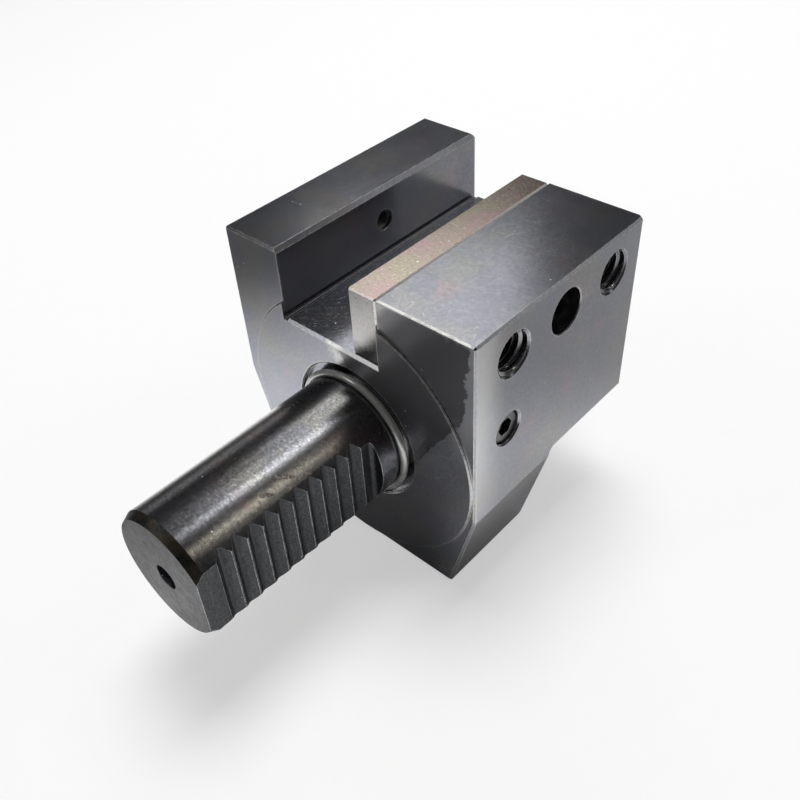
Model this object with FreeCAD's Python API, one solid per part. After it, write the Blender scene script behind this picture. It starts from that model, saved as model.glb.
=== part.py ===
import FreeCAD, Part
import math
import os

# An axial lathe tool holder. All sizes are in millimetres. The shank axis is Y,
# the seat face that meets the turret lies at y = 0, and the tool side is at +Y.

# Shank: a ground cylinder with a flat and a toothed rack on its +X side.
SHANK_RADIUS = 15.0
SHANK_LENGTH = 55.0
SHANK_END_CHAMFER_RADIAL = 1.0
SHANK_END_CHAMFER_AXIAL = 2.0
RACK_FLAT_X = 12.0
RACK_DEPTH = 1.5
RACK_PITCH = 4.0
RACK_GROOVES = 10
RACK_REFERENCE_CREST = 29.7
RACK_TEETH_BELOW_REFERENCE = 5
RACK_FLOOR_WIDTH = 0.6
RACK_CREST_WIDTH = 0.3
RACK_ROOT_FILLET = 0.2
RACK_END_WALL = 7.0
RACK_END_FILLET = 1.0

# Seat: a low round boss with an annular groove for the O-ring at the shank's root.
SEAT_RADIUS = 34.0
SEAT_STEP = 0.7
SEAT_RIM_CHAMFER = 0.25
RING_SECTION_RADIUS = 0.9
RING_CENTRE_Y = -0.55
RING_FIT_GAP = 0.05
SHANK_UNDERCUT_RADIUS = 14.6
SHANK_UNDERCUT_START = -2.2
RING_GROOVE_RADIUS = 17.8
RING_GROOVE_DEPTH = 1.6
RING_GROOVE_CHAMFER = 0.3

# Body outline, seen along Y. Its sides stand just outside the seat boss.
LEFT_MARGIN = 3.5
RIGHT_MARGIN = 0.5
BOTTOM_MARGIN = 1.0
LEFT_X = -(SEAT_RADIUS + LEFT_MARGIN)
RIGHT_X = SEAT_RADIUS + RIGHT_MARGIN
BOTTOM_Z = -(SEAT_RADIUS + BOTTOM_MARGIN)
TOP_Z = 40.4
LEFT_BEND_Z = 0.0
RIGHT_BEND_Z = -9.2
LEFT_TAPER = 9.5
RIGHT_TAPER = 7.2
BOTTOM_LEFT_X = LEFT_X + LEFT_TAPER
BOTTOM_RIGHT_X = RIGHT_X - RIGHT_TAPER
EDGE_CHAMFER = 0.5
JAW_EDGE_CHAMFER = 1.0

# Body lengths along Y: fixed jaw and floor, screw wall, and the flange below them.
JAW_END_Y = 70.0
SCREW_WALL_SETBACK = 10.0
SCREW_WALL_END_Y = JAW_END_Y - SCREW_WALL_SETBACK
FLANGE_END_Y = 29.0
UNDERSIDE_Z = -7.3
UNDERSIDE_FILLET = 2.0

# Tool slot between the fixed jaw and the screw wall.
SLOT_LEFT_X = -20.45
SLOT_RIGHT_X = 9.05
SLOT_DEPTH = 17.5
SLOT_FLOOR_Z = TOP_Z - SLOT_DEPTH
SLOT_FRONT_BEVEL = 0.7
RELIEF_WIDTH = 1.2
RELIEF_DEPTH = 0.5

# Clamp bar, which the screws push towards the fixed jaw.
BAR_THICKNESS = 7.7
BAR_LENGTH = SCREW_WALL_END_Y
BAR_TOP_GAP = 0.5
BAR_TOP_Z = TOP_Z - BAR_TOP_GAP
BAR_FRONT_Y = 0.9
BAR_BACK_GAP = 0.4
BAR_FLOOR_GAP = 0.1
BAR_CHAMFER = 0.4

# Clamp screws: socket set screws in tapped holes through the screw wall.
CLAMP_SCREW_HEIGHT = 8.5
CLAMP_SCREW_Z = SLOT_FLOOR_Z + CLAMP_SCREW_HEIGHT
CLAMP_SCREW_FRONT_Y = 13.0
CLAMP_SCREW_REAR_MARGIN = 10.6
CLAMP_SCREW_REAR_Y = SCREW_WALL_END_Y - CLAMP_SCREW_REAR_MARGIN
CLAMP_THREAD_RADIUS = 5.0
CLAMP_SCREW_LENGTH = 20.0
CLAMP_SCREW_KEY = 5.0
CLAMP_SCREW_SOCKET_DEPTH = 6.0
CLAMP_SCREW_END_CHAMFER = 1.4
CLAMP_MOUTH_CHAMFER = 0.5

# Retaining screw and return spring between the clamp screws.
RETAINER_Y = (CLAMP_SCREW_FRONT_Y + CLAMP_SCREW_REAR_Y) / 2
RETAINER_BORE_RADIUS = 5.3
RETAINER_MOUTH_CHAMFER = 0.2
RETAINER_WEB = 5.0
RETAINER_BORE_FLOOR_X = SLOT_RIGHT_X + RETAINER_WEB
RETAINER_HOLE_RADIUS = 2.9
RETAINER_THREAD_RADIUS = 2.5
RETAINER_SCREW_LENGTH = 20.0
RETAINER_HEAD_RADIUS = 4.25
RETAINER_HEAD_LENGTH = 5.0
RETAINER_KEY = 4.0
RETAINER_SOCKET_DEPTH = 2.5
RETAINER_HEAD_CHAMFER = 0.4
RETAINER_TAP_EXTRA = 0.8
SPRING_LENGTH = 9.0
SPRING_TURNS = 4
SPRING_WIRE_RADIUS = 0.45
SPRING_COIL_RADIUS = 3.7

# Tapped hole through the fixed jaw.
JAW_HOLE_Y = JAW_END_Y / 2
JAW_HOLE_RISE = 0.4
JAW_HOLE_Z = CLAMP_SCREW_Z + JAW_HOLE_RISE
JAW_HOLE_RADIUS = 2.5
JAW_HOLE_CHAMFER = 0.2

# Coolant way: a slanted bore up the shank, a plugged cross hole and a channel to the nozzle.
COOLANT_BORE_RADIUS = 3.0
CROSS_HOLE_Y = 12.0
CROSS_HOLE_Z = 12.0
CROSS_HOLE_RADIUS = 3.4
CROSS_HOLE_END_X = -4.5
PLUG_THREAD_RADIUS = 4.0
PLUG_THREAD_DEPTH = 9.4
PLUG_LENGTH = 8.0
PLUG_RECESS = 0.9
PLUG_KEY = 4.0
PLUG_SOCKET_DEPTH = 4.0
PLUG_END_CHAMFER = 0.6
PLUG_MOUTH_CHAMFER = 0.4
THREAD_GAP = 0.05

# Ball nozzle in the rear of the screw wall.
NOZZLE_X = (SLOT_RIGHT_X + RIGHT_X) / 2
BALL_RADIUS = 6.0
BALL_BORE_RADIUS = 1.75
BALL_CENTRE_INSET = 5.2
BALL_GAP = 0.05
BALL_FRONT_FLAT = 0.6
SOCKET_RADIUS = 8.0
SOCKET_DEPTH = 8.0
SEAL_POCKET_RADIUS = 6.4
SEAL_POCKET_DEPTH = 12.5
SEAL_SECTION_RADIUS = 1.5
NOZZLE_RING_INSET = 0.3
NOZZLE_RING_BACK_INSET = 6.0
NOZZLE_RING_LIP_INSET = 1.5
NOZZLE_RING_MOUTH_RADIUS = 5.6
SPANNER_SLOT_WIDTH = 1.6
SPANNER_SLOT_DEPTH = 1.2

X_AXIS = FreeCAD.Vector(1, 0, 0)
Y_AXIS = FreeCAD.Vector(0, 1, 0)
Z_AXIS = FreeCAD.Vector(0, 0, 1)
ORIGIN = FreeCAD.Vector(0, 0, 0)

BAR_RIGHT_X = SLOT_RIGHT_X - BAR_BACK_GAP
BALL_CENTRE = FreeCAD.Vector(NOZZLE_X, SCREW_WALL_END_Y - BALL_CENTRE_INSET, CROSS_HOLE_Z)


def box(low, high):
    """Block between two corner points."""
    size = [b - a for a, b in zip(low, high)]
    return Part.makeBox(*size, FreeCAD.Vector(*low))


def prism(points, direction):
    """Closed outline of points pushed along a direction."""
    wire = Part.makePolygon(points + points[:1])
    return Part.Face(wire).extrude(direction)


def turned(profile, centre, axis, side=Z_AXIS):
    """Solid turned about an axis from (distance along the axis, radius) pairs, with its seam on one side."""
    points = [centre + axis * along + side * radius for along, radius in profile]
    wire = Part.makePolygon(points + points[:1])
    return Part.Face(wire).revolve(centre, axis, 360)


def edges_on(shape, test):
    """Edges whose vertices all pass the test."""
    return [e for e in shape.Edges if all(test(v.Point) for v in e.Vertexes)]


def near(a, b):
    return abs(a - b) < 1e-4


def hex_socket(key, depth, mouth, axis):
    """Hexagonal socket of a given width across flats, cut from the mouth point along the axis."""
    corner = key / math.sqrt(3)
    angles = [math.radians(60 * k) for k in range(6)]
    points = [mouth + Y_AXIS * corner * math.cos(a) + Z_AXIS * corner * math.sin(a) for a in angles]
    return prism(points, axis * depth)


def rack_cutter():
    """Everything outside the flat and the teeth, as one profile pushed across the shank."""
    root_x = RACK_FLAT_X - RACK_DEPTH
    beyond = SHANK_RADIUS + 1.0
    first_crest = -RACK_REFERENCE_CREST - RACK_TEETH_BELOW_REFERENCE * RACK_PITCH
    end_y = -SHANK_LENGTH - 1.0
    profile = [(beyond, end_y), (RACK_FLAT_X, end_y)]
    for groove in range(RACK_GROOVES):
        crest = first_crest + groove * RACK_PITCH
        profile.append((RACK_FLAT_X, crest))
        profile.append((root_x, crest + RACK_DEPTH))
        profile.append((root_x, crest + RACK_DEPTH + RACK_FLOOR_WIDTH))
        profile.append((RACK_FLAT_X, crest + RACK_PITCH - RACK_CREST_WIDTH))
    profile.append((RACK_FLAT_X, -RACK_END_WALL))
    profile.append((beyond, -RACK_END_WALL))
    points = [FreeCAD.Vector(x, y, -beyond) for x, y in profile]
    cutter = prism(points, Z_AXIS * 2 * beyond)

    def at_root(point):
        return near(point.x, root_x)

    def at_end(point):
        return near(point.x, RACK_FLAT_X) and near(point.y, -RACK_END_WALL)

    roots = [e for e in edges_on(cutter, at_root) if near(e.Length, 2 * beyond)]
    cutter = cutter.makeFillet(RACK_ROOT_FILLET, roots)
    ends = [e for e in edges_on(cutter, at_end) if near(e.Length, 2 * beyond)]
    return cutter.makeFillet(RACK_END_FILLET, ends)


def shank():
    """Round shank with its end chamfer and rack, running back into the body.

    The round collar behind the rack and the length beside it are two faces, both with their seam at the flat.
    """
    profile = [
        (-SHANK_LENGTH, 0.0),
        (-SHANK_LENGTH, SHANK_RADIUS - SHANK_END_CHAMFER_RADIAL),
        (-SHANK_LENGTH + SHANK_END_CHAMFER_AXIAL, SHANK_RADIUS),
        (-RACK_END_WALL, SHANK_RADIUS),
        (RING_GROOVE_DEPTH + 1.0, SHANK_RADIUS),
        (RING_GROOVE_DEPTH + 1.0, 0.0),
    ]
    return turned(profile, ORIGIN, Y_AXIS, X_AXIS).cut(rack_cutter())


def seat_boss():
    """Round seat boss in front of the body, with a broken rim."""
    profile = [
        (0.0, 0.0),
        (0.0, SEAT_RADIUS - SEAT_RIM_CHAMFER),
        (SEAT_RIM_CHAMFER, SEAT_RADIUS),
        (SEAT_STEP + 1.0, SEAT_RADIUS),
        (SEAT_STEP + 1.0, 0.0),
    ]
    return turned(profile, ORIGIN, Y_AXIS)


def body_block():
    """Body seen along Y: outline with both top walls, then stepped lengths."""
    outline = [
        (LEFT_X + EDGE_CHAMFER, TOP_Z),
        (RIGHT_X - EDGE_CHAMFER, TOP_Z),
        (RIGHT_X, TOP_Z - EDGE_CHAMFER),
        (RIGHT_X, RIGHT_BEND_Z),
        (BOTTOM_RIGHT_X, BOTTOM_Z),
        (BOTTOM_LEFT_X, BOTTOM_Z),
        (LEFT_X, LEFT_BEND_Z),
        (LEFT_X, TOP_Z - EDGE_CHAMFER),
    ]
    points = [FreeCAD.Vector(x, SEAT_STEP, z) for x, z in outline]
    block = prism(points, Y_AXIS * (JAW_END_Y - SEAT_STEP))
    below = box((LEFT_X - 1, FLANGE_END_Y, BOTTOM_Z - 1), (RIGHT_X + 1, JAW_END_Y + 1, UNDERSIDE_Z))
    inner = edges_on(below, lambda p: near(p.y, FLANGE_END_Y) and near(p.z, UNDERSIDE_Z))
    block = block.cut(below.makeFillet(UNDERSIDE_FILLET, inner))
    behind = box((SLOT_RIGHT_X, SCREW_WALL_END_Y, UNDERSIDE_Z - 1), (RIGHT_X + 1, JAW_END_Y + 1, TOP_Z + 1))
    block = block.cut(behind)

    def on_front(point):
        return near(point.y, SEAT_STEP)

    def on_rear(point):
        return near(point.y, JAW_END_Y)

    def on_step(point):
        return near(point.y, SCREW_WALL_END_Y) and point.x > SLOT_RIGHT_X + 1

    def on_flange_end(point):
        return near(point.y, FLANGE_END_Y) and point.z < UNDERSIDE_Z - UNDERSIDE_FILLET - 1

    edges = edges_on(block, on_front) + edges_on(block, on_rear)
    edges = edges + edges_on(block, on_step) + edges_on(block, on_flange_end)
    return block.makeChamfer(EDGE_CHAMFER, edges)


def slot_cutter():
    """Tool slot through the full length, with broken top edges and the relief along the jaw."""
    high = TOP_Z + 2.0
    outline = [
        (SLOT_LEFT_X, SLOT_FLOOR_Z - RELIEF_DEPTH),
        (SLOT_LEFT_X + RELIEF_WIDTH, SLOT_FLOOR_Z - RELIEF_DEPTH),
        (SLOT_LEFT_X + RELIEF_WIDTH, SLOT_FLOOR_Z),
        (SLOT_RIGHT_X, SLOT_FLOOR_Z),
        (SLOT_RIGHT_X, TOP_Z - EDGE_CHAMFER),
        (SLOT_RIGHT_X + EDGE_CHAMFER, TOP_Z),
        (SLOT_RIGHT_X + EDGE_CHAMFER, high),
        (SLOT_LEFT_X - JAW_EDGE_CHAMFER, high),
        (SLOT_LEFT_X - JAW_EDGE_CHAMFER, TOP_Z),
        (SLOT_LEFT_X, TOP_Z - JAW_EDGE_CHAMFER),
    ]
    points = [FreeCAD.Vector(x, -1.0, z) for x, z in outline]
    return prism(points, Y_AXIS * (JAW_END_Y + 2.0))


def slot_bevel():
    """Wedge that breaks the front edge of the slot floor."""
    reach = SLOT_FRONT_BEVEL + 1.0
    outline = [
        (-1.0, SLOT_FLOOR_Z - reach),
        (-1.0, SLOT_FLOOR_Z + 1.0),
        (reach, SLOT_FLOOR_Z + 1.0),
    ]
    points = [FreeCAD.Vector(SLOT_LEFT_X, y, z) for y, z in outline]
    return prism(points, X_AXIS * (SLOT_RIGHT_X - SLOT_LEFT_X))


def ring_groove():
    """Annular groove round the shank's root, with a broken outer edge."""
    profile = [
        (SHANK_UNDERCUT_START, SHANK_UNDERCUT_RADIUS),
        (RING_GROOVE_DEPTH, SHANK_UNDERCUT_RADIUS),
        (RING_GROOVE_DEPTH, RING_GROOVE_RADIUS),
        (RING_GROOVE_CHAMFER, RING_GROOVE_RADIUS),
        (0.0, RING_GROOVE_RADIUS + RING_GROOVE_CHAMFER),
        (SHANK_UNDERCUT_START, RING_GROOVE_RADIUS + RING_GROOVE_CHAMFER),
    ]
    return turned(profile, ORIGIN, Y_AXIS)


def mouth_hole(radius, chamfer, mouth, axis, depth):
    """Round hole from a mouth point along an axis, with a countersunk mouth."""
    profile = [
        (-1.0, 0.0),
        (-1.0, radius + chamfer),
        (0.0, radius + chamfer),
        (chamfer, radius),
        (depth, radius),
        (depth, 0.0),
    ]
    return turned(profile, mouth, axis)


def clamp_holes():
    """Two tapped holes through the screw wall."""
    depth = RIGHT_X - SLOT_RIGHT_X + 1.0
    holes = []
    for y in (CLAMP_SCREW_FRONT_Y, CLAMP_SCREW_REAR_Y):
        mouth = FreeCAD.Vector(RIGHT_X, y, CLAMP_SCREW_Z)
        holes.append(mouth_hole(CLAMP_THREAD_RADIUS, CLAMP_MOUTH_CHAMFER, mouth, -X_AXIS, depth))
    return holes


def retainer_hole():
    """Spring bore from the right face, and the screw's clearance hole through the web."""
    mouth = FreeCAD.Vector(RIGHT_X, RETAINER_Y, CLAMP_SCREW_Z)
    depth = RIGHT_X - RETAINER_BORE_FLOOR_X
    bore = mouth_hole(RETAINER_BORE_RADIUS, RETAINER_MOUTH_CHAMFER, mouth, -X_AXIS, depth)
    through = Part.makeCylinder(RETAINER_HOLE_RADIUS, RIGHT_X - SLOT_RIGHT_X + 1.0, mouth, -X_AXIS)
    return bore.fuse(through)


def jaw_hole():
    """Tapped hole through the fixed jaw, countersunk at both faces."""
    inner = FreeCAD.Vector(SLOT_LEFT_X, JAW_HOLE_Y, JAW_HOLE_Z)
    outer = FreeCAD.Vector(LEFT_X, JAW_HOLE_Y, JAW_HOLE_Z)
    depth = SLOT_LEFT_X - LEFT_X
    first = mouth_hole(JAW_HOLE_RADIUS, JAW_HOLE_CHAMFER, inner, -X_AXIS, depth / 2)
    second = mouth_hole(JAW_HOLE_RADIUS, JAW_HOLE_CHAMFER, outer, X_AXIS, depth / 2 + 0.1)
    return first.fuse(second)


def coolant_ways():
    """Slanted shank bore, cross hole with its tapped mouth, and the channel to the nozzle."""
    inlet = FreeCAD.Vector(0, -SHANK_LENGTH, 0)
    junction = FreeCAD.Vector(0, CROSS_HOLE_Y, CROSS_HOLE_Z)
    slope = (junction - inlet).normalize()
    bore = Part.makeCylinder(COOLANT_BORE_RADIUS, (junction - inlet).Length + 2.0, inlet - slope * 2.0, slope)
    mouth = FreeCAD.Vector(RIGHT_X, CROSS_HOLE_Y, CROSS_HOLE_Z)
    tap = mouth_hole(PLUG_THREAD_RADIUS, PLUG_MOUTH_CHAMFER, mouth, -X_AXIS, PLUG_THREAD_DEPTH)
    cross = Part.makeCylinder(CROSS_HOLE_RADIUS, RIGHT_X - CROSS_HOLE_END_X, mouth, -X_AXIS)
    start = FreeCAD.Vector(NOZZLE_X, CROSS_HOLE_Y, CROSS_HOLE_Z)
    channel = Part.makeCylinder(COOLANT_BORE_RADIUS, SCREW_WALL_END_Y - CROSS_HOLE_Y, start, Y_AXIS)
    return [bore, tap, cross, channel]


def nozzle_socket():
    """Stepped bore for the nozzle ring, the ball and the seal behind it."""
    mouth = FreeCAD.Vector(NOZZLE_X, SCREW_WALL_END_Y, CROSS_HOLE_Z)
    ring_bore = mouth_hole(SOCKET_RADIUS, PLUG_MOUTH_CHAMFER, mouth, -Y_AXIS, SOCKET_DEPTH)
    seal_bore = Part.makeCylinder(SEAL_POCKET_RADIUS, SEAL_POCKET_DEPTH, mouth, -Y_AXIS)
    return ring_bore.fuse(seal_bore)


def holder_body():
    """Shank, seat boss and block as one piece, with every hole cut."""
    body = body_block().fuse([seat_boss(), shank()])
    cutters = [slot_cutter(), slot_bevel(), ring_groove(), retainer_hole(), jaw_hole(), nozzle_socket()]
    cutters = cutters + clamp_holes() + coolant_ways()
    return body.cut(cutters)


def clamp_bar():
    """Plain bar with broken edges and a tapped hole for the retaining screw."""
    low = (BAR_RIGHT_X - BAR_THICKNESS, BAR_FRONT_Y, SLOT_FLOOR_Z + BAR_FLOOR_GAP)
    high = (BAR_RIGHT_X, BAR_FRONT_Y + BAR_LENGTH, BAR_TOP_Z)
    bar = box(low, high)
    bar = bar.makeChamfer(BAR_CHAMFER, bar.Edges)
    mouth = FreeCAD.Vector(BAR_RIGHT_X, RETAINER_Y, CLAMP_SCREW_Z)
    engaged = RETAINER_SCREW_LENGTH - (RETAINER_BORE_FLOOR_X + SPRING_LENGTH - BAR_RIGHT_X)
    radius = RETAINER_THREAD_RADIUS + THREAD_GAP
    hole = mouth_hole(radius, BAR_CHAMFER, mouth, -X_AXIS, engaged + RETAINER_TAP_EXTRA)
    return bar.cut(hole)


def set_screw(radius, length, chamfer, key, socket_depth, tip):
    """Socket set screw along +X from its flat tip."""
    profile = [
        (0.0, 0.0),
        (0.0, radius - chamfer),
        (chamfer, radius),
        (length - chamfer / 2, radius),
        (length, radius - chamfer / 2),
        (length, 0.0),
    ]
    screw = turned(profile, tip, X_AXIS)
    return screw.cut(hex_socket(key, socket_depth, tip + X_AXIS * length, -X_AXIS))


def clamp_screw(y):
    """Clamp screw resting on the bar's back."""
    tip = FreeCAD.Vector(BAR_RIGHT_X, y, CLAMP_SCREW_Z)
    radius = CLAMP_THREAD_RADIUS - THREAD_GAP
    return set_screw(
        radius, CLAMP_SCREW_LENGTH, CLAMP_SCREW_END_CHAMFER, CLAMP_SCREW_KEY, CLAMP_SCREW_SOCKET_DEPTH, tip)


def retaining_screw():
    """Cap screw that holds the bar against the return spring."""
    seat_x = RETAINER_BORE_FLOOR_X + SPRING_LENGTH
    centre = FreeCAD.Vector(seat_x, RETAINER_Y, CLAMP_SCREW_Z)
    profile = [
        (-RETAINER_SCREW_LENGTH, 0.0),
        (-RETAINER_SCREW_LENGTH, RETAINER_THREAD_RADIUS - RETAINER_HEAD_CHAMFER),
        (-RETAINER_SCREW_LENGTH + RETAINER_HEAD_CHAMFER, RETAINER_THREAD_RADIUS),
        (0.0, RETAINER_THREAD_RADIUS),
        (0.0, RETAINER_HEAD_RADIUS),
        (RETAINER_HEAD_LENGTH - RETAINER_HEAD_CHAMFER, RETAINER_HEAD_RADIUS),
        (RETAINER_HEAD_LENGTH, RETAINER_HEAD_RADIUS - RETAINER_HEAD_CHAMFER),
        (RETAINER_HEAD_LENGTH, 0.0),
    ]
    screw = turned(profile, centre, X_AXIS)
    mouth = centre + X_AXIS * RETAINER_HEAD_LENGTH
    return screw.cut(hex_socket(RETAINER_KEY, RETAINER_SOCKET_DEPTH, mouth, -X_AXIS))


def return_spring():
    """Round-wire compression spring between the web and the retaining screw's head."""
    rise = SPRING_LENGTH - 2 * SPRING_WIRE_RADIUS
    helix = Part.makeHelix(rise / SPRING_TURNS, rise, SPRING_COIL_RADIUS)
    start = FreeCAD.Vector(SPRING_COIL_RADIUS, 0, 0)
    section = Part.Wire(Part.makeCircle(SPRING_WIRE_RADIUS, start, Y_AXIS))
    coil = Part.Wire(helix).makePipeShell([section], True, True)
    coil.rotate(ORIGIN, Y_AXIS, 90)
    base_x = RETAINER_BORE_FLOOR_X + SPRING_WIRE_RADIUS
    coil.translate(FreeCAD.Vector(base_x, RETAINER_Y, CLAMP_SCREW_Z))
    return coil


def seat_o_ring():
    """O-ring stretched over the undercut, standing out of the seat face."""
    radius = SHANK_UNDERCUT_RADIUS + RING_FIT_GAP + RING_SECTION_RADIUS
    return Part.makeTorus(radius, RING_SECTION_RADIUS, FreeCAD.Vector(0, RING_CENTRE_Y, 0), Y_AXIS)


def coolant_plug():
    """Set screw that closes the cross hole."""
    tip = FreeCAD.Vector(RIGHT_X - PLUG_RECESS - PLUG_LENGTH, CROSS_HOLE_Y, CROSS_HOLE_Z)
    radius = PLUG_THREAD_RADIUS - THREAD_GAP
    return set_screw(radius, PLUG_LENGTH, PLUG_END_CHAMFER, PLUG_KEY, PLUG_SOCKET_DEPTH, tip)


def nozzle_ball():
    """Ball with a through bore and a small flat at the outlet."""
    ball = Part.makeSphere(BALL_RADIUS, BALL_CENTRE)
    back = BALL_CENTRE - Y_AXIS * (BALL_RADIUS + 1.0)
    bore = Part.makeCylinder(BALL_BORE_RADIUS, 2 * BALL_RADIUS + 2.0, back, Y_AXIS)
    flat_start = BALL_CENTRE + Y_AXIS * (BALL_RADIUS - BALL_FRONT_FLAT)
    flat = Part.makeCylinder(BALL_RADIUS, BALL_FRONT_FLAT + 1.0, flat_start, Y_AXIS)
    return ball.cut([bore, flat])


def nozzle_ring():
    """Threaded ring whose spherical seat holds the ball, with two spanner slots."""
    outer = SOCKET_RADIUS - THREAD_GAP
    front = FreeCAD.Vector(NOZZLE_X, SCREW_WALL_END_Y - NOZZLE_RING_INSET, CROSS_HOLE_Z)
    length = NOZZLE_RING_BACK_INSET - NOZZLE_RING_INSET
    ring = Part.makeCylinder(outer, length, front, -Y_AXIS)
    seat_radius = BALL_RADIUS + BALL_GAP
    seat = Part.makeSphere(seat_radius, BALL_CENTRE)
    lip_depth = NOZZLE_RING_LIP_INSET - NOZZLE_RING_INSET
    lip_offset = BALL_CENTRE_INSET - NOZZLE_RING_LIP_INSET
    lip_radius = math.sqrt(seat_radius ** 2 - lip_offset ** 2)
    mouth = Part.makeCone(NOZZLE_RING_MOUTH_RADIUS, lip_radius, lip_depth, front, -Y_AXIS)
    back_bore = Part.makeCylinder(seat_radius, BALL_CENTRE_INSET, BALL_CENTRE, -Y_AXIS)
    ring = ring.cut([seat, mouth, back_bore])
    half = SPANNER_SLOT_WIDTH / 2
    low = (NOZZLE_X - outer - 1, front.y - SPANNER_SLOT_DEPTH, CROSS_HOLE_Z - half)
    high = (NOZZLE_X + outer + 1, front.y + 1, CROSS_HOLE_Z + half)
    return ring.cut(box(low, high))


def nozzle_seal():
    """O-ring between the pocket floor and the ball."""
    floor_y = SCREW_WALL_END_Y - SEAL_POCKET_DEPTH
    centre_y = floor_y + SEAL_SECTION_RADIUS
    reach = BALL_RADIUS + SEAL_SECTION_RADIUS + BALL_GAP
    radius = math.sqrt(reach ** 2 - (BALL_CENTRE.y - centre_y) ** 2)
    return Part.makeTorus(radius, SEAL_SECTION_RADIUS, FreeCAD.Vector(NOZZLE_X, centre_y, CROSS_HOLE_Z), Y_AXIS)


parts = {
    "holder_body": holder_body(),
    "clamp_bar": clamp_bar(),
    "clamp_screw_front": clamp_screw(CLAMP_SCREW_FRONT_Y),
    "clamp_screw_rear": clamp_screw(CLAMP_SCREW_REAR_Y),
    "retaining_screw": retaining_screw(),
    "return_spring": return_spring(),
    "seat_o_ring": seat_o_ring(),
    "coolant_plug": coolant_plug(),
    "nozzle_ball": nozzle_ball(),
    "nozzle_ring": nozzle_ring(),
    "nozzle_seal": nozzle_seal(),
}

os.makedirs("parts", exist_ok=True)
for name, shape in parts.items():
    shape.exportStep("parts/" + name + ".step")
    solids = len(shape.Solids)
    print(name, "solids", solids, "valid", shape.isValid(), "volume", round(shape.Volume, 1))
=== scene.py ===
import math
from collections import namedtuple
from functools import cached_property

import bmesh
import bpy
from mathutils import Matrix, Vector


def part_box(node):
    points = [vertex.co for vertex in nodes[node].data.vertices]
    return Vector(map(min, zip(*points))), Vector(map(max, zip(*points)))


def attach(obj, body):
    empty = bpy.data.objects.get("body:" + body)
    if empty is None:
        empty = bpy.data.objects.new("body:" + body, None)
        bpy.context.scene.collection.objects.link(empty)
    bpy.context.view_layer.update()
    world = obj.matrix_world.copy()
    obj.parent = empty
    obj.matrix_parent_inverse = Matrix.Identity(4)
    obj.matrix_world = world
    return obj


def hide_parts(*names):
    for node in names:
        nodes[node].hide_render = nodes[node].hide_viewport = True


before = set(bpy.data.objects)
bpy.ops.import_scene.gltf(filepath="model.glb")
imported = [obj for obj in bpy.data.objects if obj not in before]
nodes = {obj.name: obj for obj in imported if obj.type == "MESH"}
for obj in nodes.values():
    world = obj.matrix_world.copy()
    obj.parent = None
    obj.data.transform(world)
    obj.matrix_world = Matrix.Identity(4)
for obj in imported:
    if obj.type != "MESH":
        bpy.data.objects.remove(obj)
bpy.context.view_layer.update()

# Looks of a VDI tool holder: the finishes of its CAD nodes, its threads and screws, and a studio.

scene = bpy.context.scene
MM = 0.001
WHITE = (1.0, 1.0, 1.0)


def link(obj):
    """Puts an object into the scene."""
    scene.collection.objects.link(obj)
    return obj


def grey(value):
    """Neutral colour."""
    return (value, value, value)


# Node trees. Their lengths are in metres, so a noise scale of 1000 is one feature a millimetre.

# Places of A, B and the result among a Mix node's sockets, for each type of data.
MIX_SOCKETS = {"FLOAT": (2, 3, 0), "RGBA": (6, 7, 2)}
NUMBER_OUTPUTS = ("DOT_PRODUCT", "LENGTH", "DISTANCE")
SCRATCH_WIDTH = 0.008
EDGE_ROUNDING = 0.0001
DUSTY_METALLIC = 0.2

# The block's front face is at y = 0.0007, so a mask of it has faded out between these.
FRONT_FADE = (0.0012, 0.002)


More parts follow.
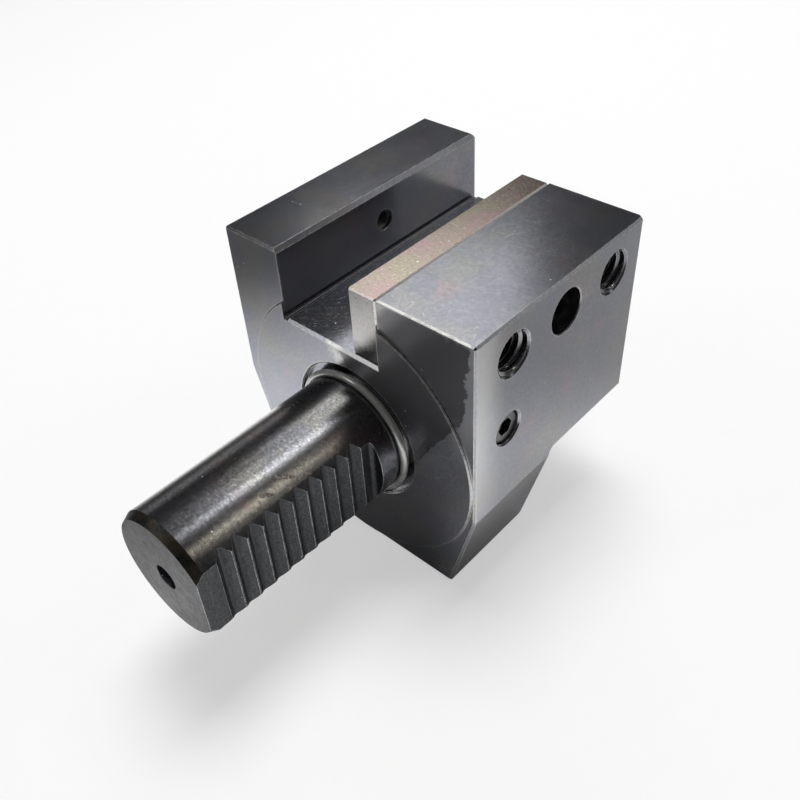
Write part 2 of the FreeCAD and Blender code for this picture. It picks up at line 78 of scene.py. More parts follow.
class Graph:
    """Node tree of a material or world, with short calls that add a node and link its inputs."""

    def __init__(self, owner, output="OutputMaterial"):
        owner.use_nodes = True
        self.owner = owner
        self.tree = owner.node_tree
        self.tree.nodes.clear()
        self.output = self.node(output)

    @cached_property
    def place(self):
        return self.node("TexCoord").outputs["Object"]

    @cached_property
    def normal(self):
        """Normal of the mesh, before any rounding or bump."""
        return self.node("NewGeometry").outputs["Normal"]

    def node(self, kind, inputs=None, **settings):
        made = self.tree.nodes.new("ShaderNode" + kind)
        for key, value in settings.items():
            setattr(made, key, value)
        for key, value in (inputs or {}).items():
            self.put(made.inputs[key], value)
        return made

    def put(self, socket, value):
        """Links a socket or sets its value. A colour may come without its alpha."""
        if isinstance(value, bpy.types.NodeSocket):
            self.tree.links.new(value, socket)
        elif socket.type == "RGBA" and len(value) == 3:
            socket.default_value = (*value, 1.0)
        else:
            socket.default_value = value

    def close(self, shader):
        """Ends the tree with its last shader."""
        self.put(self.output.inputs["Surface"], shader.outputs[0])
        return self.owner

    def math(self, operation, a, b=0.0):
        return self.node("Math", {0: a, 1: b}, operation=operation).outputs[0]

    def add(self, *values):
        total = values[0]
        for value in values[1:]:
            total = self.math("ADD", total, value)
        return total

    def times(self, *values):
        product = values[0]
        for value in values[1:]:
            product = self.math("MULTIPLY", product, value)
        return product

    def larger(self, a, b):
        return self.math("MAXIMUM", a, b)

    def inverse(self, mask):
        return self.math("SUBTRACT", 1.0, mask)

    def vector(self, operation, a, b=(0, 0, 0)):
        made = self.node("VectorMath", {0: a, 1: b}, operation=operation)
        return made.outputs["Value" if operation in NUMBER_OUTPUTS else "Vector"]

    def axes(self, vector=None):
        """The x, y and z of a vector, or of the place on the object."""
        return tuple(self.node("SeparateXYZ", {0: vector or self.place}).outputs)

    def stretched(self, scale, turn=(0, 0, 0)):
        """Place on the object with each axis scaled, after a turn in degrees."""
        angles = tuple(math.radians(a) for a in turn)
        turned = self.node("Mapping", {"Vector": self.place, "Rotation": angles}).outputs[0]
        return self.vector("MULTIPLY", turned, scale)

    def noise(self, scale, detail, rough=0.5, vector=None):
        inputs = {
            "Vector": vector or self.place, "Scale": scale, "Detail": detail, "Roughness": rough,
        }
        return self.node("TexNoise", inputs).outputs["Fac"]

    def ragged(self, reach, scale, detail, rough):
        """Noise about zero, which makes a mask's edge ragged."""
        centred = self.math("SUBTRACT", self.noise(scale, detail, rough), 0.5)
        return self.times(centred, reach)

    def step(self, value, low, high, to_low=0.0, to_high=1.0):
        """Smooth change from one value to another between two limits."""
        inputs = {"Value": value, 1: low, 2: high, 3: to_low, 4: to_high}
        return self.node("MapRange", inputs, interpolation_type="SMOOTHSTEP").outputs[0]

    def fade(self, value, low, high):
        """Smooth fall from 1 to 0 between two limits."""
        return self.step(value, low, high, 1.0, 0.0)

    def mixed(self, kind, factor, a, b):
        first, second, result = MIX_SOCKETS[kind]
        return self.node("Mix", {0: factor, first: a, second: b}, data_type=kind).outputs[result]

    def blend(self, factor, a, b):
        """Number between two others."""
        return self.mixed("FLOAT", factor, a, b)

    def mix(self, factor, a, b):
        """Colour between two others."""
        return self.mixed("RGBA", factor, a, b)

    def laid(self, tone, mask, amount, colour):
        """Tone with another colour laid over it where the mask is."""
        return self.mix(self.times(mask, amount), tone, colour)

    def tinted(self, tone, scale, low, high, amount, colour, turn):
        """Tone with soft stains of another colour, from noise that is turned its own way."""
        field = self.noise(1.0, 3, 0.55, self.stretched((scale, scale, scale), turn))
        return self.laid(tone, self.step(field, low, high), amount, colour)

    def rounded(self, radius, samples=6):
        """Normal that an edge rounded to this radius would have."""
        return self.node("Bevel", {"Radius": radius}, samples=samples).outputs[0]

    def worn(self, radius, low, high):
        """Mask of worn edges, from how far the rounded normal leaves the mesh's own."""
        turn = self.inverse(self.vector("DOT_PRODUCT", self.rounded(radius, 8), self.normal))
        chips = self.step(self.noise(1100, 3, 0.6), 0.35, 0.62, 0.3, 1.3)
        return self.step(self.times(turn, chips), low, high)

    def specks(self, scale, share, size):
        """Mask of small round specks, in a share of the cells of a grid."""
        cells = self.node("TexVoronoi", {"Vector": self.place, "Scale": scale})
        chosen = self.math("GREATER_THAN", self.axes(cells.outputs["Color"])[0], 1.0 - share)
        return self.times(chosen, self.fade(cells.outputs["Distance"], size * 0.6, size))

    def scratches(self, scale, turn, low, high):
        """Mask of sparse long thin lines, where stretched noise is near its middle value."""
        field = self.noise(1.0, 1.0, 0.4, self.stretched(scale, turn))
        from_middle = self.math("ABSOLUTE", self.math("SUBTRACT", field, 0.5))
        patches = self.step(self.noise(60, 1.0), low, high)
        return self.times(self.fade(from_middle, 0.0, SCRATCH_WIDTH), patches)

    def metallic_under(self, dust):
        """Metallic value, which falls where dust lies on the steel."""
        return self.step(dust, 0.0, 1.0, 1.0, DUSTY_METALLIC)

    def ray_masks(self):
        """Masks of the rays that the camera sees directly, and of those that the steel mirrors."""
        path = self.node("LightPath").outputs
        seen = self.larger(path["Is Camera Ray"], path["Is Transmission Ray"])
        return seen, path["Is Glossy Ray"]

    def surface(
            self, colour, roughness, height, depth, metallic=1.0, rounding=EDGE_ROUNDING, **others):
        """Principled surface with rounded edges and a bump. Other sockets go by their names."""
        relief = {"Height": height, "Distance": depth, "Strength": 1.0}
        if rounding:
            relief["Normal"] = self.rounded(rounding)
        inputs = {
            "Base Color": colour, "Roughness": roughness, "Metallic": metallic,
            "Normal": self.node("Bump", relief).outputs[0],
        }
        inputs.update({name.replace("_", " "): value for name, value in others.items()})
        return self.close(self.node("BsdfPrincipled", inputs))


def material_graph(name):
    return Graph(bpy.data.materials.new(name))


# Black-oxide steel of the body, and what lies on parts of it.

def on_front(g, low=-0.95, high=-0.8):
    """Mask of the block's front face, which is turned to -Y just behind the seat."""
    turned = g.fade(g.axes(g.normal)[1], low, high)
    return g.times(turned, g.fade(g.axes()[1], *FRONT_FADE))


def oil_film_and_painted_shade(g):
    """Mask of the oil that has crept from the slot down over the right half of the front. The
    darker tone laid in it is partly painted shade, where the front mirrors the dark shank and its
    shadow.
    """
    x, _, z = g.axes()
    edge = g.add(g.ragged(0.0036, 420, 4, 0.65), g.ragged(0.004, 90, 2, 0.5))

    def past(share_x, share_z):
        """How far a point lies past a line that slants across the front, with a ragged edge."""
        return g.add(g.times(x, share_x), g.times(z, share_z), edge)

    above_lower_edge = g.step(past(-1.35, 1.0), -0.02322, -0.02297)
    inside_right_edge = g.fade(past(1.0, -0.11), 0.0288, 0.0291)
    inside_left_edge = g.step(past(0.5, 0.125), -0.0005, 0.002)
    below_top = g.fade(past(0.0, 1.0), 0.0392, 0.0418)
    off_corner = g.step(past(0.8, -1.0), -0.0345, -0.0285)
    return g.times(
        on_front(g, -0.8, -0.4), above_lower_edge, inside_right_edge, inside_left_edge,
        below_top, off_corner)


def oxide_tone(g, cloud):
    """Blue-grey oxide with soft yellow and rose stains and fine speckles."""
    tone = g.mix(g.step(cloud, 0.35, 0.65), (0.229, 0.235, 0.268), (0.262, 0.267, 0.298))
    tone = g.tinted(tone, 70, 0.47, 0.62, 0.3, (0.3, 0.29, 0.225), (20, 0, 30))
    tone = g.tinted(tone, 105, 0.56, 0.68, 0.32, (0.34, 0.245, 0.26), (0, 40, 70))
    speckle = g.noise(1300, 2, 0.6)
    tone = g.mix(g.step(speckle, 0.52, 0.64, 0.0, 0.16), tone, grey(0.42))
    return g.mix(g.step(speckle, 0.36, 0.48, 0.16, 0.0), tone, (0.14, 0.14, 0.15))


def oiled_and_shaded(g, tone, oil_and_painted_shade):
    """Tone under the oil film, partly painted shade: darker than the oxide and darkest towards the
    bottom, lighter near the slot, with a pale rim.
    """
    # Painted shade: the film's tone darkens towards the bottom of the front.
    film_with_painted_shade = g.mix(g.step(g.axes()[2], 0.01, 0.028), (0.09, 0.086, 0.094), (0.22, 0.216, 0.23))
    smear = g.step(g.noise(140, 3, 0.6), 0.3, 0.7, 0.95, 0.8)
    tone = g.mix(g.times(oil_and_painted_shade, smear), tone, film_with_painted_shade)
    return g.laid(tone, g.times(oil_and_painted_shade, g.inverse(oil_and_painted_shade)), 3.0, (0.6, 0.6, 0.58))


def painted_highlight_band(g, cloud):
    """Mask of a painted highlight: a pale band on the right face beside its front edge, stronger
    higher up.
    """
    x, y, z = g.axes()
    to_side = g.step(g.axes(g.normal)[0], 0.8, 0.95)
    near_front = g.step(g.add(y, g.times(cloud, 0.006)), 0.0035, 0.0145, 0.9, 0.0)
    return g.times(to_side, near_front, g.step(x, 0.03, 0.033), g.step(z, -0.022, 0.03, 0.15, 1.05))


def painted_sheen_strip(g, front, oil_and_painted_shade):
    """Mask of a painted sheen: a pale strip of the front beside its right edge, where the oil film
    leaves it free.
    """
    x, _, z = g.axes()
    return g.times(front, g.inverse(oil_and_painted_shade), g.step(x, 0.0268, 0.0325), g.step(z, 0.004, 0.026))


def front_haze(g, front):
    """Mask of the dull haze that grows over the front to the right and upwards."""
    x, _, z = g.axes()
    return g.times(front, g.step(x, 0.005, 0.03), g.step(z, -0.026, 0.002, 0.15, 1.0))


def slot_scuffs(g):
    """Mask of the scuffs that tools have left on the slot floor."""
    z = g.axes()[2]
    upward = g.step(g.axes(g.normal)[2], 0.9, 0.97)
    at_floor = g.times(g.step(z, 0.018, 0.019), g.fade(z, 0.0262, 0.0268))
    marks = g.noise(1.0, 3, 0.7, g.stretched((2300, 1000, 2300), (0, 0, 35)))
    return g.times(upward, at_floor, g.step(marks, 0.48, 0.7))


def blackened_steel():
    """Satin black-oxide steel of the body, with stains, an oil film that is partly painted shade,
    dust, worn edges, and a painted highlight and painted sheen beside the front's right edge.
    """
    g = material_graph("blackened_steel")
    cloud = g.noise(45, 4, 0.6)
    grain = g.noise(2600, 3, 0.65)
    oil_and_painted_shade = oil_film_and_painted_shade(g)
    front = on_front(g)
    sheen_strip = painted_sheen_strip(g, front, oil_and_painted_shade)
    scuffs = slot_scuffs(g)
    straight = g.scratches((10, 430, 430), (35, 20, 50), 0.5, 0.62)
    crossing = g.scratches((430, 10, 430), (0, 25, 20), 0.54, 0.66)
    lines = g.times(g.larger(straight, crossing), g.step(oil_and_painted_shade, 0.0, 1.0, 0.4, 0.08))
    wear = g.worn(0.0003, 0.006, 0.045)
    dust = g.specks(430, 0.14, 0.08)

    tone = oiled_and_shaded(g, oxide_tone(g, cloud), oil_and_painted_shade)
    tone = g.mix(lines, tone, (0.52, 0.52, 0.51))
    tone = g.laid(tone, g.worn(0.0014, 0.004, 0.1), 0.4, (0.5, 0.5, 0.48))
    # Painted highlight beside the right face's front edge.
    tone = g.mix(painted_highlight_band(g, cloud), tone, grey(0.6))
    # Painted sheen on the front beside its right edge.
    tone = g.laid(tone, sheen_strip, 0.6, (0.6, 0.6, 0.62))
    tone = g.laid(tone, scuffs, 0.4, grey(0.6))
    tone = g.laid(tone, wear, 0.8, (0.66, 0.65, 0.62))
    tone = g.laid(tone, dust, 0.75, (0.8, 0.8, 0.77))
    tone = g.laid(tone, g.specks(170, 0.14, 0.045), 0.85, grey(0.03))

    rough = g.add(0.135, g.times(g.noise(190, 3, 0.6), 0.06), g.times(grain, 0.06))
    rough = g.blend(g.times(wear, 0.8), g.blend(oil_and_painted_shade, rough, 0.24), 0.45)
    height = g.add(g.times(grain, 0.8), g.times(lines, -0.5))
    # Metallic falls under the haze and under the painted sheen strip.
    haze_and_sheen_metallic = g.step(g.add(front_haze(g, front), sheen_strip), 0.0, 2.0, 0.95, 0.3)
    dulled = g.metallic_under(g.larger(dust, g.times(scuffs, 0.4)))
    return g.surface(tone, rough, height, 0.000006, g.times(g.blend(oil_and_painted_shade, haze_and_sheen_metallic, 0.62), dulled))


# Ends of the two short dents on top of the rack, in millimetres, and half of a dent's width.
DENTS = (
    ((8.4, -34.6, 12.4), (9.4, -32.2, 11.7)),
    ((7.3, -30.0, 13.1), (9.1, -26.2, 11.9)),
)
DENT_HALF_WIDTH = 0.5


def dent(g, start, end):
    """Mask of one pitted mark, an ellipse along the line between two points."""
    middle, half = (start + end) / 2, (end - start) / 2
    along = tuple(half.normalized())
    offset = g.vector("SUBTRACT", g.place, tuple(middle))
    reach = g.math("DIVIDE", g.vector("DOT_PRODUCT", offset, along), half.length)
    aside = g.vector("LENGTH", g.vector("CROSS_PRODUCT", offset, along))
    near = g.math("DIVIDE", aside, DENT_HALF_WIDTH * MM)
    ragged = g.ragged(7.0, 1900, 3, 0.7)
    return g.fade(g.add(g.times(reach, reach), g.times(near, near), ragged), 0.3, 1.0)


def ground_shank():
    """Ground and blackened shank: glossy, with fine rings, warm tints and two dents."""
    g = material_graph("ground_shank")
    rings = g.noise(1.0, 3, 0.6, g.stretched((60, 2600, 60)))
    streaks = g.noise(1.0, 3, 0.55, g.stretched((300, 26, 300)))
    grain = g.noise(1500, 3, 0.65)
    chips = g.noise(2300, 2, 0.6)
    dust = g.specks(360, 0.1, 0.06)
    dents = g.larger(*(dent(g, Vector(start) * MM, Vector(end) * MM) for start, end in DENTS))

    tone = g.mix(g.step(streaks, 0.35, 0.65), (0.2, 0.204, 0.222), (0.295, 0.295, 0.308))
    tone = g.tinted(tone, 95, 0.54, 0.68, 0.4, (0.38, 0.25, 0.25), (0, 30, 0))
    tone = g.tinted(tone, 80, 0.54, 0.66, 0.3, (0.32, 0.31, 0.23), (0, 70, 0))
    tone = g.mix(g.step(grain, 0.54, 0.64, 0.0, 0.4), tone, (0.5, 0.48, 0.45))
    tone = g.mix(g.step(grain, 0.36, 0.46, 0.45, 0.0), tone, (0.08, 0.08, 0.085))
    tone = g.laid(tone, g.worn(0.0003, 0.02, 0.12), 0.7, (0.6, 0.58, 0.52))
    tone = g.laid(tone, dust, 0.8, (0.8, 0.79, 0.75))
    rust = g.mix(g.step(chips, 0.46, 0.54), (0.1, 0.045, 0.04), (0.75, 0.68, 0.6))
    tone = g.laid(tone, dents, 0.75, rust)

    rough = g.add(0.14, g.times(streaks, 0.13), g.times(rings, 0.08), g.times(dents, 0.15))
    height = g.add(g.times(rings, 0.25), g.times(grain, 0.35), g.times(dents, chips, 3.0))
    return g.surface(tone, rough, height, 0.000016, g.metallic_under(dust))


def milled_end():
    """Turned end face: grey and grainy, with faint milling lines."""
    g = material_graph("milled_end")
    lines = g.noise(1.0, 4, 0.7, g.stretched((160, 160, 1500), (0, -38, 0)))
    grain = g.noise(1700, 3, 0.7)
    patches = g.noise(260, 3, 0.65)
    tone = g.mix(g.step(lines, 0.4, 0.6), (0.08, 0.08, 0.084), (0.145, 0.145, 0.15))
    tone = g.mix(g.step(patches, 0.42, 0.62, 0.0, 0.6), tone, (0.18, 0.18, 0.186))
    tone = g.mix(g.step(grain, 0.52, 0.64, 0.0, 0.6), tone, (0.24, 0.24, 0.25))
    tone = g.mix(g.step(grain, 0.36, 0.48, 0.6, 0.0), tone, (0.025, 0.025, 0.027))
    tone = g.laid(tone, g.worn(0.0003, 0.05, 0.26), 0.5, (0.3, 0.29, 0.27))
    rough = g.add(0.34, g.times(grain, 0.14))
    height = g.add(g.times(lines, 0.7), g.times(grain, 0.8))
    return g.surface(tone, rough, height, 0.00003, 0.6, Specular_Tint=grey(0.5))


def end_chamfer():
    """Turned chamfer at the shank's end: dark and dull, with a brown stain."""
    g = material_graph("end_chamfer")
    grain = g.noise(1500, 3, 0.65)
    tone = g.mix(g.step(grain, 0.35, 0.7), (0.05, 0.05, 0.053), (0.1, 0.1, 0.105))
    tone = g.tinted(tone, 130, 0.48, 0.6, 0.6, (0.19, 0.16, 0.11), (0, 10, 40))
    tone = g.laid(tone, g.worn(0.0003, 0.06, 0.3), 0.45, (0.5, 0.49, 0.46))
    return g.surface(tone, g.add(0.34, g.times(grain, 0.12)), grain, 0.00002)


def rack_steel():
    """Milled rack and flat: dull dark grey, with fine lines along each tooth, worn crests and
    painted shade in the tooth roots.
    """
    g = material_graph("rack_steel")
    x = g.axes()[0]
    grain = g.noise(1900, 3, 0.7)
    lines = g.noise(1.0, 3, 0.6, g.stretched((1800, 1800, 120)))
    dust = g.specks(420, 0.07, 0.06)
    crest = g.step(x, 0.0114, 0.0118)
    tone = g.mix(g.step(grain, 0.35, 0.7), (0.028, 0.029, 0.032), (0.058, 0.059, 0.063))
    tone = g.mix(g.step(lines, 0.55, 0.7, 0.0, 0.4), tone, (0.09, 0.09, 0.093))
    # Painted shade: below 10.1 to 10.6 mm from the axis, in the tooth roots, the tone is darkened
    # almost to black.
    tone = g.mix(g.step(x, 0.0101, 0.0106, 0.8, 0.0), tone, (0.004, 0.004, 0.005))
    tone = g.laid(tone, g.times(g.worn(0.00022, 0.006, 0.06), crest), 0.85, grey(0.6))
    tone = g.mix(dust, tone, grey(0.6))
    rough = g.add(0.3, g.times(grain, 0.12))
    height = g.add(g.times(lines, 0.6), g.times(grain, 0.5))
    return g.surface(tone, rough, height, 0.00002, g.metallic_under(dust))


def bar_steel():
    """Clamp bar: straw and rose oxide tints, speckled, with grey sides that carry painted shade low
    down in the slot, and bright worn edges.
    """
    g = material_graph("bar_steel")
    grain = g.noise(1500, 4, 0.7)
    sides = g.step(g.axes(g.normal)[2], 0.5, 0.9, 0.85, 0.0)
    low = g.fade(g.add(g.axes()[2], g.times(g.noise(300, 3, 0.6), 0.006)), 0.0268, 0.0305)
    tone = g.mix(g.step(g.noise(110, 4, 0.6), 0.35, 0.65), (0.4, 0.325, 0.295), (0.39, 0.36, 0.275))
    tone = g.tinted(tone, 75, 0.46, 0.62, 0.5, (0.46, 0.32, 0.325), (30, 0, 60))
    tone = g.mix(sides, tone, grey(0.48))
    tone = g.mix(g.step(grain, 0.56, 0.7, 0.0, 0.55), tone, (0.72, 0.68, 0.62))
    tone = g.mix(g.step(grain, 0.3, 0.44, 0.6, 0.0), tone, (0.16, 0.14, 0.12))
    # Painted shade: the sides are darkened low down, where the bar stands in the slot.
    tone = g.laid(tone, g.times(low, sides), 0.8, (0.08, 0.08, 0.085))
    tone = g.laid(tone, g.worn(0.0003, 0.01, 0.08), 0.8, (0.85, 0.83, 0.78))
    tone = g.laid(tone, g.specks(300, 0.2, 0.08), 0.85, (0.78, 0.77, 0.74))
    return g.surface(tone, g.add(0.15, g.times(grain, 0.12)), grain, 0.000007)


def screw_steel():
    """Black-oxide screws."""
    g = material_graph("screw_steel")
    grain = g.noise(1500, 3, 0.6)
    tone = g.mix(g.step(grain, 0.35, 0.7), (0.12, 0.12, 0.125), (0.19, 0.19, 0.195))
    tone = g.laid(tone, g.worn(0.00025, 0.02, 0.14), 0.8, (0.62, 0.61, 0.59))
    return g.surface(tone, g.add(0.28, g.times(grain, 0.15)), grain, 0.00001)


def bright_steel(name, dark, light, smoothest):
    """Drawn or ground steel without oxide, of the spring and the ball."""
    g = material_graph(name)
    grain = g.noise(900, 3, 0.6)
    tone = g.mix(g.step(grain, 0.35, 0.7), dark, light)
    rough = g.add(smoothest, g.times(grain, 0.12))
    return g.surface(tone, rough, grain, 0.000006, rounding=0)


def seal_rubber():
    """Oiled black rubber with a glossy coat; its base is painted light grey, a painted reflection
    of the pale surroundings.
    """
    g = material_graph("seal_rubber")
    cloud = g.noise(300, 3, 0.6)
    # Painted reflection: a light grey base where black rubber would be near black.
    tone = g.mix(cloud, (0.22, 0.22, 0.21), (0.36, 0.36, 0.34))
    tone = g.mix(g.specks(500, 0.16, 0.05), tone, (0.5, 0.5, 0.48))
    rough = g.add(0.2, g.times(cloud, 0.16))
    return g.surface(
        tone, rough, cloud, 0.00001, 0.0, rounding=0,
        Coat_Weight=1.0, Coat_Roughness=0.12, Coat_IOR=2.6)


# Finishes of the CAD nodes.

BODY, SHANK, END, CHAMFER, RACK = range(5)

# Limits of the body's finishes, in millimetres: places along the shank, and radii about it.
END_Y = -54.9
CHAMFER_Y = -53.0
SEAT_Y = -2.1
HOLE_RADIUS = 9.5
CHAMFER_RADIUS = 12.5
SHANK_RADIUS = 14.8


def body_finish(centre, normal):
    """Which finish a face of the holder body has, from its place in millimetres."""
    radius = math.hypot(centre.x, centre.z)
    turned = abs(normal.x * centre.z - normal.z * centre.x) < 0.2 * radius
    if centre.y < END_Y and normal.y < -0.9:
        return END
    if centre.y > SEAT_Y or radius < HOLE_RADIUS:
        return BODY
    if centre.y < CHAMFER_Y and radius > CHAMFER_RADIUS and turned and normal.y < -0.2:
        return CHAMFER
    return SHANK if turned and radius > SHANK_RADIUS else RACK


def dress(obj, materials, choose=None):
    """Gives a CAD node its materials, chosen face by face."""
    obj.data.materials.clear()
    for material in materials:
        obj.data.materials.append(material)
    if choose:
        for face in obj.data.polygons:
            face.material_index = choose(face.center / MM, face.normal)


body_steel, screws, rubber = blackened_steel(), screw_steel(), seal_rubber()
body_steels = [body_steel, ground_shank(), milled_end(), end_chamfer(), rack_steel()]
dress(nodes["holder_body"], body_steels, body_finish)
for node, material in (
    ("clamp_bar", bar_steel()),
    ("retaining_screw", screws),
    ("coolant_plug", screws),
    ("nozzle_ring", screws),
    ("return_spring", bright_steel("spring_steel", (0.3, 0.3, 0.31), (0.42, 0.42, 0.43), 0.22)),
    ("nozzle_ball", bright_steel("nozzle_steel", (0.42, 0.42, 0.43), (0.52, 0.52, 0.53), 0.18)),
    ("seat_o_ring", rubber),
    ("nozzle_seal", rubber),
):
    dress(nodes[node], [material])


# Threads and screws, which the solids leave plain. Their sizes are in millimetres.

# Ridge of a thread. Base and crest are radii, their widths are shares of the pitch, steps are the
# rings in a turn, and the phase is the angle at which it starts.
Thread = namedtuple("Thread", "pitch base crest base_width crest_width steps phase")


def about_x(centre, along, radius, angle):
    """Point at a radius and an angle about a line along +X."""
    y, z = centre
    return Vector((along, y + radius * math.cos(angle), z + radius * math.sin(angle)))


def tube(name, rings, material, smooth_angle):
    """Closed piece through rings that have equally many points, with both ends filled."""
    sides = len(rings[0])
    last = (len(rings) - 1) * sides
    faces = []
    for start in range(0, last, sides):
        for k in range(sides):
            a, b = start + k, start + (k + 1) % sides
            faces.append((a, b, b + sides, a + sides))
    faces.append(tuple(reversed(range(sides))))
    faces.append(tuple(last + k for k in range(sides)))
    mesh = bpy.data.meshes.new(name)
    mesh.from_pydata([point * MM for ring in rings for point in ring], [], faces)
    bm = bmesh.new()
    bm.from_mesh(mesh)
    bmesh.ops.recalc_face_normals(bm, faces=bm.faces)
    bm.to_mesh(mesh)
    bm.free()
    mesh.shade_smooth()
    mesh.set_sharp_from_angle(angle=math.radians(smooth_angle))
    mesh.materials.append(material)
    return link(bpy.data.objects.new(name, mesh))


def thread_ridge(name, centre, start, end, thread, material):
    """Helical ridge about a line along +X, which rises from its base at both ends."""
    count = int((end - start) / thread.pitch * thread.steps)
    fade = thread.steps // 3
    rings = []
    for k in range(count + 1):
        along = start + thread.pitch * k / thread.steps
        turn = 2 * math.pi * (k / thread.steps + start / thread.pitch) + thread.phase
        rise = max(min(1.0, k / fade, (count - k) / fade), 0.02)
        crest = thread.base + (thread.crest - thread.base) * rise
        rings.append([
            about_x(centre, along + side * thread.pitch / 2, radius, turn)
            for side, radius in (
                (-thread.base_width, thread.base), (-thread.crest_width, crest),
                (thread.crest_width, crest), (thread.base_width, thread.base))
        ])
    return tube(name, rings, material, smooth_angle=50)


def lofted(name, profile, centre, material, sides=48):
    """Piece along +X through rings, each (x, radius) or, with six sides, (x, half width, "hex")."""
    rings = []
    for along, reach, *hexagonal in profile:
        ring = []
        for k in range(sides):
            angle = 2 * math.pi * k / sides
            from_corner = angle % (math.pi / 3) - math.pi / 6
            radius = reach / math.cos(from_corner) if hexagonal else reach
            ring.append(about_x(centre, along, radius, angle))
        rings.append(ring)
    return tube(name, rings, material, smooth_angle=35)


SLOT_WALL_X = 9.05
RIGHT_X = 34.5
JAW_HOLE_CENTRE = (35.0, 31.8)
JAW_HOLE_START = -36.8
JAW_HOLE_END = -21.0
SCREW_CORE = 4.08
HALF_KEY = 2.5
SCREW_THREAD = Thread(1.5, SCREW_CORE - 0.06, 4.95, 0.8, 0.16, 40, 0.0)
TAPPED_THREAD = Thread(1.5, 5.04, 4.3, 0.7, 0.12, 40, math.pi)
JAW_THREAD = Thread(0.8, 2.53, 2.1, 0.8, 0.16, 32, 0.0)


def clamp_screw_profile(tip, head):
    """Profile of a set screw: its tip, its core, and the hexagon socket with its drilled end."""
    return [
        (tip, 3.3), (tip + 0.25, 3.55), (tip + 0.9, SCREW_CORE),
        (head - 0.45, SCREW_CORE), (head, SCREW_CORE - 0.25),
        (head, HALF_KEY + 0.25, "hex"), (head - 0.25, HALF_KEY, "hex"),
        (head - 5.2, HALF_KEY, "hex"), (head - 5.25, 2.2), (head - 6.2, 0.4),
    ]


for label, body in (("front", "front_screw"), ("rear", "rear_screw")):
    low, high = (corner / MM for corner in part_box("clamp_screw_" + label))
    centre = ((low.y + high.y) / 2, (low.z + high.z) / 2)
    core = lofted("clamp_core_" + label, clamp_screw_profile(low.x, high.x), centre, screws)
    ridge = thread_ridge(
        "clamp_thread_" + label, centre, low.x + 1.3, high.x - 0.6, SCREW_THREAD, screws)
    ridge.parent = core
    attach(core, body)
    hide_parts("clamp_screw_" + label)
    nut = thread_ridge(
        "tapped_thread_" + label, centre, SLOT_WALL_X + 0.7, RIGHT_X - 0.75, TAPPED_THREAD,
        body_steel)
    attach(nut, "holder")

jaw = thread_ridge(
    "tapped_thread_jaw", JAW_HOLE_CENTRE, JAW_HOLE_START, JAW_HOLE_END, JAW_THREAD, body_steel)
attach(jaw, "holder")


# Floor, surroundings, lamps and camera.

# The floor lies just under the body's underside.
FLOOR_HALF_SIZE = 4.0
FLOOR_Z = -0.03505

# Lens and place are in millimetres.
CAMERA_LENS = 40.507
CAMERA_PLACE = (114.111, -101.734, 143.820)
CAMERA_FORWARD = (-0.52194, 0.53490, -0.66443)
CAMERA_UP = (-0.41628, 0.52015, 0.74576)

LAMP_DISTANCE = 1.5
WARM = (1.0, 0.93, 0.76)


def floor_paper():
    """Pale floor that keeps the shadow and is near white to the camera; the steel mirrors it with a
    painted pool of light and a painted shadow near the holder's foot.
    """
    g = material_graph("floor_paper")
    seen, mirrored = g.ray_masks()
    x, y, _ = g.axes()
    along = g.times(g.add(x, y), math.sqrt(0.5))
    across = g.times(g.math("SUBTRACT", x, y), math.sqrt(0.5))
    # Painted light: the colour that the steel mirrors is a pool of light that fades with distance
    # from the holder, with a painted shadow near its foot.
    painted_contact_shadow = g.vector("DISTANCE", g.place, (0.006, -0.016, -0.035))
    painted_light_pool = g.times(
        g.step(along, -0.128, -0.052, 0.14, 1.1), g.step(along, 0.03, 0.115, 1.0, 0.36),
        g.step(across, 0.09, 0.2, 1.0, 0.2), g.step(across, -0.2, -0.09, 0.45, 1.0),
        g.step(painted_contact_shadow, 0.018, 0.052, 0.38, 1.0), 1.6)
    fibre = g.noise(220, 2, 0.5)
    paper = g.mix(fibre, (0.86, 0.86, 0.865), grey(0.88))
    to_camera = g.mix(fibre, (0.472, 0.472, 0.475), grey(0.486))
    in_steel = g.node("CombineXYZ", {0: painted_light_pool, 1: painted_light_pool, 2: painted_light_pool}).outputs[0]
    colour = g.mix(mirrored, g.mix(seen, paper, to_camera), in_steel)
    # Painted shade: the glow is a little weaker to the left of x = -0.2 m, so the far left of the
    # floor looks darker.
    near_glow = g.step(x, -0.75, -0.2, 0.45, 0.51)
    far_glow = g.step(g.vector("LENGTH", g.place), 0.7, 1.8, 0.0, 0.45)
    strength = g.times(seen, g.add(near_glow, far_glow))
    glow = g.node("Emission", {"Color": WHITE, "Strength": strength})
    diffuse = g.node("BsdfDiffuse", {"Color": colour})
    return g.close(g.node("AddShader", {0: diffuse.outputs[0], 1: glow.outputs[0]}))


def floor():
    """Square floor round the object."""
    corners = [
        (x * FLOOR_HALF_SIZE, y * FLOOR_HALF_SIZE, FLOOR_Z)
        for x, y in ((-1, -1), (1, -1), (1, 1), (-1, 1))
    ]
    mesh = bpy.data.meshes.new("floor")
    mesh.from_pydata(corners, [], [(0, 1, 2, 3)])
    mesh.materials.append(floor_paper())
    link(bpy.data.objects.new("floor", mesh))


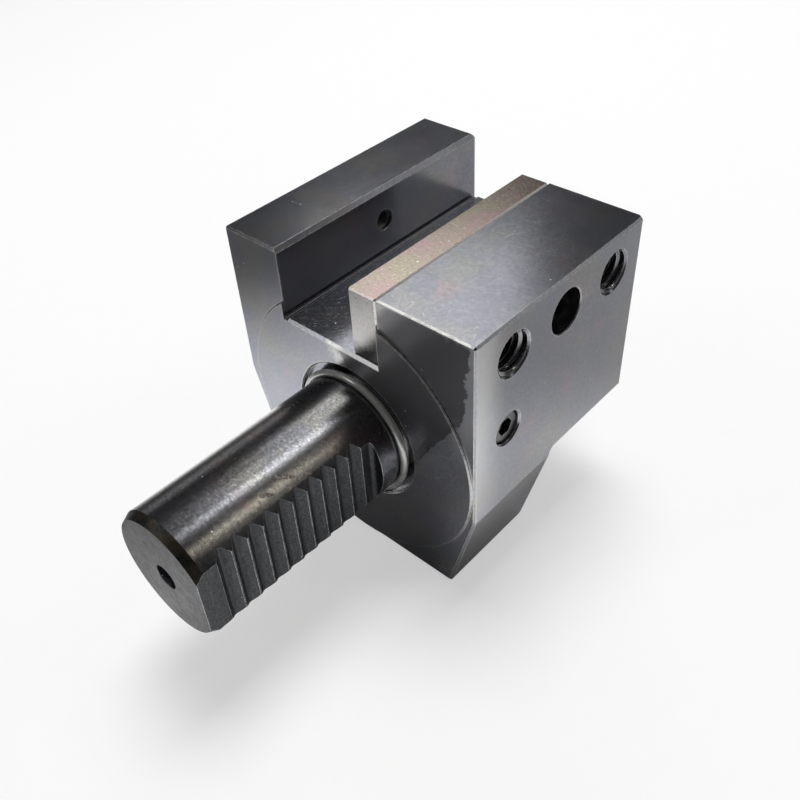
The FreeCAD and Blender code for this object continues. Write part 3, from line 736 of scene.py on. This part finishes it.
def studio_world(ambient, in_steel):
    """World that lights softly, is white to the camera and dim in the steel's reflections."""
    scene.world = bpy.data.worlds.new("studio")
    g = Graph(scene.world, "OutputWorld")
    seen, mirrored = g.ray_masks()
    strength = g.blend(seen, g.blend(mirrored, ambient, in_steel), 1.0)
    g.close(g.node("Background", {"Color": WHITE, "Strength": strength}))


def softbox(name, azimuth, elevation, width, height, radiance, colour=WHITE):
    """Area lamp aimed at the object from a direction in degrees, with its strength as radiance."""
    data = bpy.data.lights.new(name, "AREA")
    data.shape = "RECTANGLE"
    data.size = width
    data.size_y = height
    data.energy = radiance * math.pi * width * height
    data.color = colour
    azimuth, elevation = math.radians(azimuth), math.radians(elevation)
    flat = math.cos(elevation)
    outward = Vector((flat * math.cos(azimuth), flat * math.sin(azimuth), math.sin(elevation)))
    lamp = link(bpy.data.objects.new(name, data))
    lamp.location = outward * LAMP_DISTANCE
    lamp.rotation_mode = "QUATERNION"
    lamp.rotation_quaternion = outward.to_track_quat("Z", "Y")
    lamp.visible_camera = False
    return lamp


def camera():
    """Camera at the place, direction and lens that were fitted to the photograph."""
    data = bpy.data.cameras.new("camera")
    data.sensor_width = 36.0
    data.lens = CAMERA_LENS
    data.clip_start = 0.005
    forward = Vector(CAMERA_FORWARD).normalized()
    right = forward.cross(Vector(CAMERA_UP)).normalized()
    turn = Matrix((right, right.cross(forward), -forward)).transposed()
    made = link(bpy.data.objects.new("camera", data))
    made.matrix_world = Matrix.Translation(Vector(CAMERA_PLACE) * MM) @ turn.to_4x4()
    scene.camera = made


floor()
studio_world(ambient=0.112, in_steel=0.052)
camera()

# Each of these lamps stands where one of the holder's faces mirrors it to the camera.
softbox("key", 131.5, 43, 0.4, 0.55, 1.95)
softbox("top", 84, 65, 0.22, 0.44, 5.2)
softbox("crown", 113, 60, 0.5, 0.36, 1.85)
softbox("side", 33, 51.5, 0.1, 0.35, 5.5, WARM)
softbox("low_side", 52, 31, 0.45, 0.5, 0.8)
softbox("front", 231, 34, 0.42, 0.5, 2.4)
softbox("left", 160, 13, 0.45, 0.4, 0.4)

# The overhead lamp gives the soft shadow and isn't mirrored.
overhead = softbox("overhead", 125, 77, 0.62, 0.62, 13.0)
overhead.visible_glossy = False
scene.view_settings.view_transform = "Standard"
